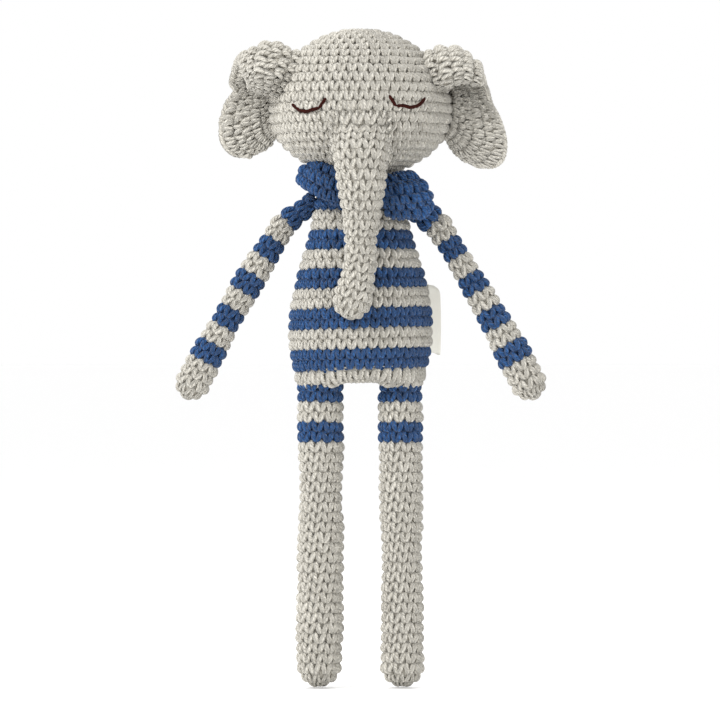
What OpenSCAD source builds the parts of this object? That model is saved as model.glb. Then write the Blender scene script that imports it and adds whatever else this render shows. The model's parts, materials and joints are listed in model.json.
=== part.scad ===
// Crocheted elephant doll: a stuffed figure of tubes and balls, striped as if it wore a jumper.
// It hangs upright, facing -Y, with its own left side on +X. Heights are worked out above the
// toe tips, and every node is then lowered so that the origin is the middle of the belly.

/* [Cloth] */
// Thickness of the crocheted cloth
cloth_t = 2.6; // [1.8:0.1:3.6]
// Space between pieces that move against each other
gap = 0.3; // [0.2:0.05:0.6]
// Space between the cloth and the stuffing inside it
fill_gap = 0.1; // [0.05:0.05:0.3]
// Height of one colour stripe, two rounds of stitches, before the torso's are fitted to its height
stripe_h = 9.8; // [7:0.1:13]

/* [Legs] */
// Height of the hip pivots above the toe tips
leg_len = 138.5; // [100:0.5:180]
// Radius of a leg
leg_r = 11.2; // [8:0.1:14]
// Half the distance between the two legs' middles
leg_x = 19.9; // [17:0.1:26]
// Height of the knee bend above the toe tips
knee_h = 70; // [55:0.5:80]
// How far the knee folds
knee_fold = 90; // [60:1:100]
// Number of stripes at the top of a leg, counting the blue cap
leg_stripes = 3; // [1:2:5]

/* [Torso] */
// Height of the torso from its flat underside to the neck
torso_h = 87.3; // [70:0.1:110]
// Width of the belly at its widest
belly_w = 71.8; // [60:0.1:90]
// Depth of the belly at its widest
belly_d = 52; // [44:0.5:64]
// Height of the widest round above the underside
belly_up = 22; // [14:0.5:34]
// Width across the hips, at the underside
hip_w = 64; // [56:0.1:76]
// Width across the top round
collar_w = 46; // [36:0.1:50]
// Height of the hip round, below the first whole stripe
hip_round_h = 5.4; // [3:0.1:8]
// Height of the last round below the neck
top_round_h = 3.5; // [3:0.1:8]
// Height of the belly's middle above the underside, where the doll is held
hold_up = 21.8; // [14:0.1:34]

/* [Neck] */
// Radius of the ball of stuffing in the neck
neck_r = 12.5; // [9:0.1:14]
// Height of the neck ball's middle above the torso
neck_h = 6.5; // [5.5:0.1:9]

/* [Head] */
// Width of the head
head_w = 87; // [76:0.5:105]
// Height of the crown above the widest round
head_up = 39.2; // [34:0.1:48]
// Depth of the chin below the widest round
head_down = 37; // [32:0.1:44]
// Radius of an eye's thread
thread_r = 0.6; // [0.3:0.05:1]

/* [Trunk] */
// Radius where the trunk is sewn to the face
trunk_root_r = 14.4; // [12:0.1:16]
// Radius where the trunk leaves the face and starts to swing
trunk_bend_r = 12.4; // [10:0.1:13.5]
// Radius at the narrowest round
trunk_waist_r = 7.4; // [6:0.1:9]
// Radius of the rounded tip
trunk_tip_r = 8.6; // [6.5:0.1:10]
// Length from the swinging round down to the curling round
trunk_upper_len = 36; // [30:0.5:44]
// Length from the curling round down to the tip's middle
trunk_tip_len = 28; // [20:0.5:36]
// Drop of the sewn root's middle below the head's widest round
trunk_root_drop = 14; // [10:0.5:18]
// Drop of the swinging round below the head's widest round
trunk_bend_drop = 31; // [27:0.5:35]
// How far the swinging round stands in front of the face
trunk_out = 0; // [-2:0.5:9]
// Lean of the trunk back towards the collar
trunk_lean = 6.4; // [0:0.2:16]
// Drift of the trunk's tip towards the doll's right
tip_drift = 7; // [-10:1:10]
// How far the trunk lifts
trunk_lift = 70; // [40:1:75]
// How far the tip curls up
trunk_curl = 60; // [30:1:75]

/* [Ears] */
// Thickness of an ear at its seam
ear_t = 7; // [5:0.1:9]
// Length of the seam that holds an ear
ear_seam = 40; // [30:0.5:48]
// Reach of an ear outwards from its seam
ear_reach = 19; // [15:0.5:26]
// Lean of the ear's seam from upright
ear_lean = 6; // [0:1:10]
// How far the ear's upper edge is folded forwards
ear_fold = 9; // [4:0.5:12]

/* [Collar] */
// Thickness of the collar band round the neck
collar_t = 2.8; // [2:0.1:3]
// Radius of the collar's rolled edge on each front lobe
collar_roll_r = 3; // [2.4:0.1:3.6]
// How far a front lobe rises over the shoulder
collar_rise = 10.8; // [6:0.2:11]
// How far a front lobe reaches out past the torso's top round
collar_out = 9.5; // [6:0.5:10]

/* [Arms] */
// Length of an arm from the shoulder pivot to the fingertips
arm_len = 111; // [85:0.5:135]
// Radius at the shoulder
arm_root_r = 5.6; // [4.6:0.1:6.6]
// Radius of the hand
hand_r = 8.6; // [6.5:0.1:10]
// How far the shoulder pivot lies below the torso's top round
shoulder_drop = 1; // [-1:0.5:6]
// Lean of a resting arm from straight down
arm_lean = 30; // [22:1:40]
// Thickness of the seam that holds an arm to the torso
seam_t = 1.6; // [1:0.1:2.4]
// Number of stripes on an arm, counted from the shoulder
arm_stripes = 9; // [5:2:9]

/* [Label] */
// Height of the folded tape label
label_h = 32; // [20:0.5:40]
// How far the label stands out from the side seam
label_reach = 10; // [6:0.5:14]
// Thickness of the folded tape
label_t = 1.2; // [0.8:0.1:2]
// How far behind the side the label is sewn
label_back = 10.5; // [9:0.5:16]
// Height of the label's lower edge above the torso's underside
label_up = 14; // [6:0.5:30]
// Turn of the label backwards from straight out
label_turn = 52; // [40:1:70]

/* [Hidden] */
$fn = 48;

left = 1;
right = -1;
GREY = [0.78, 0.77, 0.72];
BLUE = [0.2, 0.33, 0.53];
THREAD = [0.3, 0.14, 0.12];
TAPE = [0.93, 0.92, 0.89];
FLEECE = [0.96, 0.96, 0.94];

// Heights above the toe tips
torso_z = leg_len + leg_r + gap;
torso_top = torso_z + torso_h;
hold_z = torso_z + hold_up;
neck_z = torso_top + neck_h;
head_z = neck_z + head_down;
shoulder_z = torso_top - shoulder_drop;
// Fraction of the torso's height where the belly is widest
belly_t = belly_up / torso_h;
// Places of the trunk's two bends, its tip and the middle of its sewn root, across the face
trunk_root = [0, -head_w / 2 + cloth_t, head_z - trunk_root_drop];
trunk_bend = [0, -head_w / 2 - trunk_out, head_z - trunk_bend_drop];
trunk_mid = trunk_bend + trunk_upper_len * [0, sin(trunk_lean), -cos(trunk_lean)];
trunk_end = trunk_mid + trunk_tip_len * [-sin(tip_drift), 0, -cos(tip_drift)];
// The trunk is already bent a little where it starts to swing, and lifting it first straightens that
rest_bend = acos(unit(trunk_bend - trunk_root) * unit(trunk_mid - trunk_bend));
trunk_fold = max(rest_bend, trunk_lift - rest_bend);
// The tip hangs at a slant to the part above it, and curling adds to that
tip_fold = trunk_curl + acos(unit(trunk_mid - trunk_bend) * unit(trunk_end - trunk_mid));
// A little more than half of a fold, so that the two sides of a bend never meet
mitre_spare = 3;
// The widest that anything is, for cutting slabs
wide = 400;
facets = 36;

function unit(v) = v / norm(v);
function arc(c, r, a0, a1, n = 12) =
    [for (i = [0 : n]) c + r * [cos(a0 + (a1 - a0) * i / n), sin(a0 + (a1 - a0) * i / n)]];

// ---- the torso's outline: half its width at a height above the toes
function belly_share(u) = (cos(180 * pow(u, 1.2)) + 1) / 2;
function torso_half(t) = t < belly_t
    ? belly_w / 2 - (belly_w - hip_w) / 2 * pow((belly_t - t) / belly_t, 2)
    : collar_w / 2 + (belly_w - collar_w) / 2 * belly_share((t - belly_t) / (1 - belly_t));
function torso_half_at(z) = torso_half(min(1, max(0, (z - torso_z) / torso_h)));
function oval(half, z) =
    [for (i = [0 : facets - 1]) let (a = 360 * i / facets)
        [half * cos(a), half * belly_d / belly_w * sin(a), z]];

// ---- closed solids through stacked rings of points
module stack(rings) {
    n = len(rings[0]);
    last = len(rings) - 1;
    sides = [for (k = [0 : last - 1], i = [0 : n - 1]) let (j = (i + 1) % n)
        [k * n + i, (k + 1) * n + i, (k + 1) * n + j, k * n + j]];
    foot = [for (i = [0 : n - 1]) i];
    head = [for (i = [n - 1 : -1 : 0]) last * n + i];
    polyhedron(points = [for (r = rings, p = r) p], faces = concat(sides, [foot, head]));
}

// A closed loop of rings makes a wall with an open middle
module loop(rings) {
    n = len(rings[0]);
    m = len(rings);
    polyhedron(points = [for (r = rings, p = r) p],
        faces = [for (k = [0 : m - 1], i = [0 : n - 1]) let (j = (i + 1) % n, next = (k + 1) % m)
            [k * n + i, next * n + i, next * n + j, k * n + j]]);
}

module torso_solid(z0, z1, inset) {
    stack([for (z = [z0, (z0 + z1) / 2, z1])
        oval(torso_half_at(z) - inset, z)]);
}

function torso_wall(z0, z1, inset) =
    [for (z = [z0, (z0 + z1) / 2, z1]) oval(torso_half_at(z) - inset, z)];
function upside_down(rings) = [for (k = [len(rings) - 1 : -1 : 0]) rings[k]];

// One stripe of the torso's cloth. The lowest is a cup and the highest a lid.
module torso_band(z0, z1) {
    if (z0 == torso_z)
        stack(concat(torso_wall(z0, z1, 0), upside_down(torso_wall(z0 + cloth_t, z1, cloth_t))));
    else if (z1 == torso_top)
        stack(concat(upside_down(torso_wall(z0, z1 - cloth_t, cloth_t)), torso_wall(z0, z1, 0)));
    else
        loop(concat(torso_wall(z0, z1, 0), upside_down(torso_wall(z0, z1, cloth_t))));
}

// ---- round tubes between two points, drawn along +Z and then laid in place
module along(p, q) {
    d = unit(q - p);
    translate(p) rotate([0, acos(d[2]), atan2(d[1], d[0])]) children();
}

// Profile of a limb: a start of its own, a taper, and an end that closes on the axis.
// The point of a mitre is on the pivot, so the two sides of a bend clear each other.
function mitre_h(r, fold) = r * tan(fold / 2 + mitre_spare);

module spin(profile) {
    rotate_extrude() polygon(profile);
}

module slab(z0, z1) {
    translate([-wide / 2, -wide / 2, z0]) cube([wide, wide, z1 - z0]);
}

module placed() {
    translate([0, 0, -hold_z]) children();
}

// ---- head
function head_r(z) = let (b = z > head_z ? head_up : head_down)
    head_w / 2 * sqrt(max(0, 1 - pow((z - head_z) / b, 2)));
function on_face(x, z, off) = [x, -sqrt(pow(head_r(z) + off, 2) - x * x), z];

module egg(inset) {
    n = 14;
    a = head_w / 2 - inset;
    top = head_up - inset;
    low = head_down - inset;
    spin(concat(
        [for (i = [0 : n]) [a * sin(90 * i / n), head_z - low * cos(90 * i / n)]],
        [for (i = [1 : n]) [a * cos(90 * i / n), head_z + top * sin(90 * i / n)]]));
}

module neck_ball(extra) {
    translate([0, 0, neck_z]) sphere(r = neck_r + extra);
}

module head_cover() {
    color(GREY) placed() difference() {
        egg(0);
        egg(cloth_t);
        neck_ball(gap);
    }
}

module head_stuffing() {
    color(FLEECE) placed() difference() {
        egg(cloth_t + fill_gap);
        neck_ball(gap);
    }
}

// Three straight stitches make the arc of a closed lid. Its points are shares of the head's width
// out from the middle of the face and up from the widest round.
lid = head_w * [[0.18, 0.08], [0.236, 0.021], [0.305, 0.016], [0.363, 0.06]];
// A straight stitch between two points of a round face has to lie a little clear of it
lid_lift = thread_r + 0.35;

module eye(side) {
    color(THREAD) placed() for (i = [0 : 2]) {
        p = on_face(side * lid[i][0], head_z + lid[i][1], lid_lift);
        q = on_face(side * lid[i + 1][0], head_z + lid[i + 1][1], lid_lift);
        along(p, q) translate([0, 0, thread_r / 2])
            cylinder(r = thread_r, h = norm(q - p) - thread_r);
    }
}

// ---- trunk
module trunk_root_solid(inset) {
    r0 = trunk_root_r - inset;
    r1 = trunk_bend_r - inset;
    len = norm(trunk_bend - trunk_root);
    difference() {
        along(trunk_root, trunk_bend)
            spin(concat(arc([0, 0], r0, -90, 0), [[r1, len - mitre_h(trunk_bend_r, trunk_fold)], [0, len - inset]]));
        translate(trunk_bend) sphere(r = trunk_waist_r + gap + inset);
    }
}

module trunk_root_cover() {
    color(GREY) placed() difference() {
        trunk_root_solid(0);
        trunk_root_solid(cloth_t);
        egg(-fill_gap);
    }
}

module trunk_root_stuffing() {
    color(FLEECE) placed() difference() {
        trunk_root_solid(cloth_t + fill_gap);
        egg(-fill_gap);
    }
}

// The part between the two bends, with a ball in the first bend
function trunk_upper_profile(inset) = let (
    r0 = trunk_bend_r - inset,
    r1 = trunk_waist_r - inset,
    h0 = mitre_h(trunk_bend_r, trunk_fold),
    h1 = trunk_upper_len - mitre_h(trunk_waist_r, tip_fold) - inset
) [[0, 0], [r0, h0], [r1, h1], [0, h1 + mitre_h(r1, tip_fold) - gap]];

module trunk_upper_solid(inset) {
    difference() {
        along(trunk_bend, trunk_mid) union() {
            spin(trunk_upper_profile(inset));
            sphere(r = trunk_waist_r - inset);
        }
        translate(trunk_mid) sphere(r = trunk_waist_r / 2 + gap + inset);
    }
}

module trunk_upper_cover() {
    color(GREY) placed() difference() {
        trunk_upper_solid(0);
        trunk_upper_solid(cloth_t);
    }
}

module trunk_upper_stuffing() {
    color(FLEECE) placed() trunk_upper_solid(cloth_t + fill_gap);
}

module trunk_tip_solid(inset) {
    r0 = trunk_waist_r - inset;
    r1 = trunk_tip_r - inset;
    h0 = mitre_h(trunk_waist_r, tip_fold);
    along(trunk_mid, trunk_end) union() {
        spin(concat([[0, gap], [r0, h0]], arc([0, trunk_tip_len], r1, 0, 90)));
        sphere(r = trunk_waist_r / 2 - inset);
    }
}

module trunk_tip_cover() {
    color(GREY) placed() difference() {
        trunk_tip_solid(0);
        trunk_tip_solid(cloth_t);
    }
}

module trunk_tip_stuffing() {
    color(FLEECE) placed() trunk_tip_solid(cloth_t + fill_gap);
}

// ---- ears: a folded round of cloth, its upper edge turned forwards over the lower lobe
// How far the head reaches towards the seam's lean
ear_off = sqrt(pow(head_w / 2 * cos(ear_lean), 2) + pow(head_up * sin(ear_lean), 2))
    + ear_t / 2 + gap;

// The ear's own frame has its seam on the Z axis, its reach along +X and the face at -Y.
// Each lobe is wrapped round a few points: along the seam, its outer corners and its fold.
ear_low = -ear_seam * 0.42;
ear_high = ear_seam * 0.58;
lower_lobe = [[0, 0, ear_low], [0, 0, ear_high * 0.3], [ear_reach, -ear_fold / 4, ear_low * 1.24],
    [ear_reach * 0.9, ear_fold / 4, ear_high * 0.2], [ear_reach * 0.55, 0, ear_low * 1.48]];
upper_lobe = [[0, 0, 0], [0, 0, ear_high], [ear_reach * 0.7, -ear_fold, ear_high],
    [ear_reach * 0.8, ear_fold / 3, ear_high * 0.9], [ear_reach * 0.6, -ear_fold, ear_high * 0.1]];

module wrapped(points, r) {
    hull() for (p = points) translate(p) sphere(r = r, $fn = 24);
}

module ear(side) {
    color(GREY) placed() mirror([side == left ? 0 : 1, 0, 0])
        translate([ear_off * cos(ear_lean), 0, head_z + ear_off * sin(ear_lean)])
        rotate([0, -ear_lean, 0]) union() {
            wrapped(lower_lobe, ear_t / 2);
            wrapped(upper_lobe, ear_t / 2);
        }
}

// ---- neck: a ball with a straight foot that stands on the torso
neck_foot_r = neck_r - 1;

module neck_solid(inset) {
    intersection() {
        union() {
            neck_ball(-inset);
            translate([0, 0, torso_top + gap]) cylinder(r = neck_foot_r - inset, h = neck_h);
        }
        slab(torso_top + gap + inset, head_z);
    }
}

module neck_cover() {
    color(BLUE) placed() difference() {
        neck_solid(0);
        neck_solid(cloth_t);
    }
}

module neck_stuffing() {
    color(FLEECE) placed() neck_solid(cloth_t + fill_gap);
}

// ---- torso: the hip round, then whole pairs of stripes fitted to the height, then the round
// below the neck, which is always a blue one
whole_stripes = 2 * round((torso_h - hip_round_h - top_round_h) / (2 * stripe_h));
torso_stripe_h = (torso_h - hip_round_h - top_round_h) / whole_stripes;
stripe_zs = concat([torso_z],
    [for (k = [0 : whole_stripes]) torso_z + hip_round_h + k * torso_stripe_h],
    [torso_top]);

module torso_stripes(first) {
    for (k = [first : 2 : len(stripe_zs) - 2])
        torso_band(stripe_zs[k], stripe_zs[k + 1]);
}

module torso_cover_grey() {
    color(GREY) placed() torso_stripes(0);
}

module torso_cover_blue() {
    color(BLUE) placed() torso_stripes(1);
}

module torso_stuffing() {
    inset = cloth_t + fill_gap;
    low = torso_z + inset;
    high = torso_top - inset;
    // Rings at the ends and middles of the stripes, as in the cloth, so that the two never meet
    zs = [for (k = [0 : len(stripe_zs) - 2]) each [stripe_zs[k], (stripe_zs[k] + stripe_zs[k + 1]) / 2]];
    color(FLEECE) placed() stack(concat([oval(torso_half_at(torso_z) - inset, low)],
        [for (z = zs) if (z > low && z < high) oval(torso_half_at(z) - inset, z)],
        [oval(torso_half_at(torso_top) - inset, high)]));
}

// A band round the neck, and on each side of the trunk a lobe that rises over the shoulder
collar_r = collar_w / 2 * belly_d / belly_w + 4;
half_w = collar_w / 2;
// Corners of a lobe above the torso's top round: inner front, outer front, shoulder, inner back
lobe = [[half_w / 2, 1 - collar_r, 1.8], [half_w + 2.5, -collar_r - 1.5, 3.5],
    [half_w + collar_out, collar_out - collar_r, collar_rise], [half_w * 0.75, 8 - collar_r, 3]];

module collar() {
    color(BLUE) placed() difference() {
        union() {
            translate([0, 0, torso_top]) cylinder(r = collar_r, h = collar_t);
            for (side = [0, 1]) mirror([side, 0, 0]) translate([0, 0, torso_top])
                wrapped(lobe, collar_roll_r);
        }
        translate([0, 0, torso_z]) cylinder(r = neck_r + gap, h = wide);
        torso_solid(torso_top - torso_stripe_h, torso_top, -fill_gap);
    }
}

// ---- label: a folded tape caught in the side seam, pointing outwards and back
label_x = belly_w / 2 * sqrt(1 - pow(label_back / (belly_d / 2), 2)) + label_t / 2 + gap;

module side_label() {
    color(TAPE) placed() translate([label_x, label_back, torso_z + label_up])
        rotate([0, 0, label_turn]) translate([0, -label_t / 2, 0])
            cube([label_reach, label_t, label_h]);
}

// ---- arms
// The patch of seam that holds an arm is a little narrower than the arm
seam_r = arm_root_r * 0.8;
shoulder_x = torso_half_at(shoulder_z - seam_r) + 2 * gap + seam_t + arm_root_r;

module shoulder_seam(side) {
    x0 = shoulder_x - arm_root_r - gap - seam_t;
    color(BLUE) placed() translate([side * (x0 + seam_t / 2), 0, shoulder_z])
        rotate([0, 90, 0]) cylinder(r = seam_r, h = seam_t, center = true);
}

module arm_frame(side) {
    translate([side * shoulder_x, 0, shoulder_z]) rotate([0, 180 - side * arm_lean, 0]) children();
}

function arm_profile(inset) = let (
    r0 = arm_root_r - inset,
    r1 = hand_r - inset,
    wrist = arm_len - hand_r
) concat(arc([0, 0], r0, -90, 0), arc([0, wrist], r1, 0, 90));

module arm_cover(first) {
    for (k = [first : 2 : arm_stripes])
        intersection() {
            difference() {
                spin(arm_profile(0));
                spin(arm_profile(cloth_t));
            }
            slab(k == 0 ? -wide : k * stripe_h, k == arm_stripes ? wide : (k + 1) * stripe_h);
        }
}

module arm_blue(side) {
    color(BLUE) placed() arm_frame(side) arm_cover(0);
}

module arm_grey(side) {
    color(GREY) placed() arm_frame(side) arm_cover(1);
}

module arm_stuffing(side) {
    color(FLEECE) placed() arm_frame(side) spin(arm_profile(cloth_t + fill_gap));
}

// ---- legs
knee_ball_r = leg_r * 0.45;
knee_mitre = mitre_h(leg_r, knee_fold);

module thigh_solid(inset) {
    r = leg_r - inset;
    difference() {
        spin(concat([[0, knee_h + inset], [r, knee_h + knee_mitre + inset / 2]],
            arc([0, leg_len], r, 0, 90)));
        translate([0, 0, knee_h]) sphere(r = knee_ball_r + gap + inset);
    }
}

module thigh_cover() {
    difference() {
        thigh_solid(0);
        thigh_solid(cloth_t);
    }
}

// The blue cap ends just above the hip pivot, the stripes are counted down from there, and the
// rest is grey
cap_rise = 0.4;
cap_z = leg_len + cap_rise;

module thigh_stripe(k) {
    z1 = k == 0 ? wide : cap_z - (k - 1) * stripe_h;
    z0 = k >= leg_stripes ? 0 : cap_z - k * stripe_h;
    intersection() {
        thigh_cover();
        slab(z0, z1);
    }
}

module thigh_blue(side) {
    color(BLUE) placed() translate([side * leg_x, 0, 0])
        for (k = [0 : 2 : leg_stripes - 1]) thigh_stripe(k);
}

module thigh_grey(side) {
    color(GREY) placed() translate([side * leg_x, 0, 0])
        for (k = [1 : 2 : leg_stripes]) thigh_stripe(k);
}

module thigh_stuffing(side) {
    color(FLEECE) placed() translate([side * leg_x, 0, 0]) thigh_solid(cloth_t + fill_gap);
}

module shin_solid(inset) {
    r = leg_r - inset;
    union() {
        spin(concat(arc([0, leg_r], r, -90, 0),
            [[r, knee_h - knee_mitre - inset / 2], [0, knee_h - inset / 2]]));
        translate([0, 0, knee_h]) sphere(r = knee_ball_r - inset);
    }
}

module shin_cover(side) {
    color(GREY) placed() translate([side * leg_x, 0, 0]) difference() {
        shin_solid(0);
        shin_solid(cloth_t);
    }
}

module shin_stuffing(side) {
    color(FLEECE) placed() translate([side * leg_x, 0, 0]) shin_solid(cloth_t + fill_gap);
}

head_cover();
head_stuffing();
eye(left);  // eye_left
eye(right);  // eye_right
trunk_root_cover();
trunk_root_stuffing();
trunk_upper_cover();
trunk_upper_stuffing();
trunk_tip_cover();
trunk_tip_stuffing();
ear(left);  // ear_left
ear(right);  // ear_right
neck_cover();
neck_stuffing();
torso_cover_grey();
torso_cover_blue();
torso_stuffing();
collar();
side_label();
shoulder_seam(left);  // shoulder_seam_left
shoulder_seam(right);  // shoulder_seam_right
arm_grey(left);  // arm_left_grey
arm_blue(left);  // arm_left_blue
arm_stuffing(left);  // arm_left_stuffing
arm_grey(right);  // arm_right_grey
arm_blue(right);  // arm_right_blue
arm_stuffing(right);  // arm_right_stuffing
thigh_grey(left);  // thigh_left_grey
thigh_blue(left);  // thigh_left_blue
thigh_stuffing(left);  // thigh_left_stuffing
thigh_grey(right);  // thigh_right_grey
thigh_blue(right);  // thigh_right_blue
thigh_stuffing(right);  // thigh_right_stuffing
shin_cover(left);  // shin_left_cover
shin_stuffing(left);  // shin_left_stuffing
shin_cover(right);  // shin_right_cover
shin_stuffing(right);  // shin_right_stuffing
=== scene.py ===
"""Looks of a crocheted elephant doll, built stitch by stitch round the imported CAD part.

Lengths inside this script are millimetres above the toes (z), the doll's own left (+x) and forward (-y).
They turn into the row frame's metres only where a mesh is made.
"""

import json
import math

import bmesh
import bpy
import numpy as np
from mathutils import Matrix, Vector


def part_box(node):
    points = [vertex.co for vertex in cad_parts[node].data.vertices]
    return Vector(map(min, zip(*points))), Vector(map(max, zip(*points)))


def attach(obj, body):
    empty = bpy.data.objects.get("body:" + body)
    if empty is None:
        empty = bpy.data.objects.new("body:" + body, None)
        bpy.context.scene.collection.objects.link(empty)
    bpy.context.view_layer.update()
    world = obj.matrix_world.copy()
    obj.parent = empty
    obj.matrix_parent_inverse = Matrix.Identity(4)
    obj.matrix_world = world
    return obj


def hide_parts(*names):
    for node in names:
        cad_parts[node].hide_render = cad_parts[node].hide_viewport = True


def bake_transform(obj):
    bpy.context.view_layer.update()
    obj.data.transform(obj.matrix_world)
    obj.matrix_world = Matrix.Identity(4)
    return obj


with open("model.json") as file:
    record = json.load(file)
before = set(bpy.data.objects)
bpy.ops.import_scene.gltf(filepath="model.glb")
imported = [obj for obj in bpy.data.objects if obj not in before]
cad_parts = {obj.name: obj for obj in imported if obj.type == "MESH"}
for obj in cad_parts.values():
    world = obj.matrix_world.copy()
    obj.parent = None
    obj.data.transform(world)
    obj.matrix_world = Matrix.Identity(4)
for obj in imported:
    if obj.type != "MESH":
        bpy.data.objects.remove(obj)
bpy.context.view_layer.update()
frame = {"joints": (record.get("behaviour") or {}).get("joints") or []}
RNG = np.random.default_rng(7)
ROW = 4.9  # height of one round of stitches
STITCH = 4.8  # width of one stitch
FULL_STITCH = 4.9  # width of a stitch at which the yarn has its full radius
YARN = 1.3  # radius of the yarn
CLOTH = 2.0 * YARN  # from the surface that the stitches lie on to their outermost points
TOE_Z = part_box("shin_left_cover")[0][2] * 1000
LEFT, RIGHT = 1, -1
SIDE_NAME = {LEFT: "left", RIGHT: "right"}
joints = {j["name"]: j for j in frame["joints"]}


def joint_at(name):
    """A joint's place in this script's millimetres."""
    p = np.array(joints[name]["pos_m"], float) * 1000
    return p - [0, 0, TOE_Z]


HEAD_Z = joint_at("neck_turn")[2] + 37.0  # the head's widest place
HEAD_W, HEAD_UP, HEAD_DOWN = 42.4, 38.0, 31.8  # half width, and heights above and below the widest place
TORSO_Z, TORSO_TOP = 150.0, 237.3
TORSO_W, TORSO_D = 71.8, 52.0
DRIFT = 0.13  # how far each round's stitches lie past those of the round below, in stitches
LEAST = 6  # fewest stitches in a round
# painted shade: how far the sheets deep between the stitches are darkened, standing in for the shadow in the
# pits
BACKING_PAINTED_SHADE = -2.6
PILLOW_PAINTED_SHADE = -3.0


# ---------------------------------------------------------------- surfaces
def smooth(x):
    x = np.clip(x, 0, 1)
    return x * x * (3 - 2 * x)


def unit(v):
    return v / np.maximum(np.linalg.norm(v, axis=-1, keepdims=True), 1e-9)


class Tube:
    """A surface round a line. At row t it is an oval about a centre, rx wide along e1 and ry along e2."""

    def __init__(self, t, centre, rx, ry, e1, e2):
        order = np.argsort(t)
        self.t = np.asarray(t, float)[order]
        cols = [np.asarray(centre, float), np.asarray(e1, float), np.asarray(e2, float)]
        self.cols = [c[order] for c in cols]
        self.rx, self.ry = np.asarray(rx, float)[order], np.asarray(ry, float)[order]

    def _at(self, t, table):
        return np.stack([np.interp(t, self.t, table[:, i]) for i in range(3)], -1)

    def size(self, t):
        a, b = np.interp(t, self.t, self.rx), np.interp(t, self.t, self.ry)
        return math.pi * (3 * (a + b) - math.sqrt(max((3 * a + b) * (a + 3 * b), 0)))

    def __call__(self, turn, t):
        c, e1, e2 = (self._at(t, x) for x in self.cols)
        rx, ry = np.interp(t, self.t, self.rx), np.interp(t, self.t, self.ry)
        a = 2 * np.pi * turn
        return c + (rx * np.cos(a))[..., None] * e1 + (ry * np.sin(a))[..., None] * e2


def spun(points, rx, ry=None, t=None, e1=None):
    """A tube through centres on a line. t defaults to the arc length of the profile in rows."""
    points, rx = np.asarray(points, float), np.asarray(rx, float)
    ry = rx if ry is None else np.asarray(ry, float)
    d = unit(np.gradient(points, axis=0) + 1e-9)
    if t is None:
        step = np.hypot(np.linalg.norm(np.diff(points, axis=0), axis=1), np.diff(rx))
        t = np.concatenate([[0], np.cumsum(step)]) / ROW
    first = np.array([1.0, 0, 0]) if e1 is None else np.asarray(e1, float)
    e1 = unit(first - (d @ first)[:, None] * d)
    return Tube(t, points, rx, ry, e1, np.cross(d, e1))


def stood(t, points, rx, ry):
    """A tube whose rounds all lie level."""
    n = (len(points), 1)
    return Tube(t, points, rx, ry, np.tile([1.0, 0, 0], n), np.tile([0, 1.0, 0], n))


def normals(surf, turn, t, flip=1):
    h, k = 0.004, 0.06
    du = surf(turn + h, t) - surf(turn - h, t)
    dv = surf(turn, t + k) - surf(turn, t - k)
    return flip * unit(np.cross(du, dv))


# ---------------------------------------------------------------- stitches
# Middle lines of one stitch's strands: across the stitch, up the round, and out from the cloth in yarn radii
LEG = np.array([
    (0.11, -0.06, -0.4), (0.125, 0.00, 0.55), (0.165, 0.12, 1.12), (0.22, 0.27, 1.25), (0.275, 0.44, 1.12),
    (0.315, 0.60, 0.72), (0.335, 0.74, 0.1), (0.34, 0.88, -0.7),
])
BAR = np.array([
    (0.33, 0.58, -0.3), (0.40, 0.78, 0.3), (0.5, 0.92, 0.42), (0.60, 0.78, 0.3), (0.67, 0.58, -0.3),
])


def resample(path, n):
    """A smooth line through the given points (Catmull-Rom)."""
    p = np.vstack([2 * path[0] - path[1], path, 2 * path[-1] - path[-2]])
    s = np.linspace(0, len(path) - 1 - 1e-9, n)
    i = s.astype(int)
    f = (s - i)[:, None]
    a, b, c, d = p[i], p[i + 1], p[i + 2], p[i + 3]
    return 0.5 * (2 * b + (c - a) * f + (2 * a - 5 * b + 4 * c - d) * f**2 + (3 * b - a - 3 * c + d) * f**3)


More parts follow.
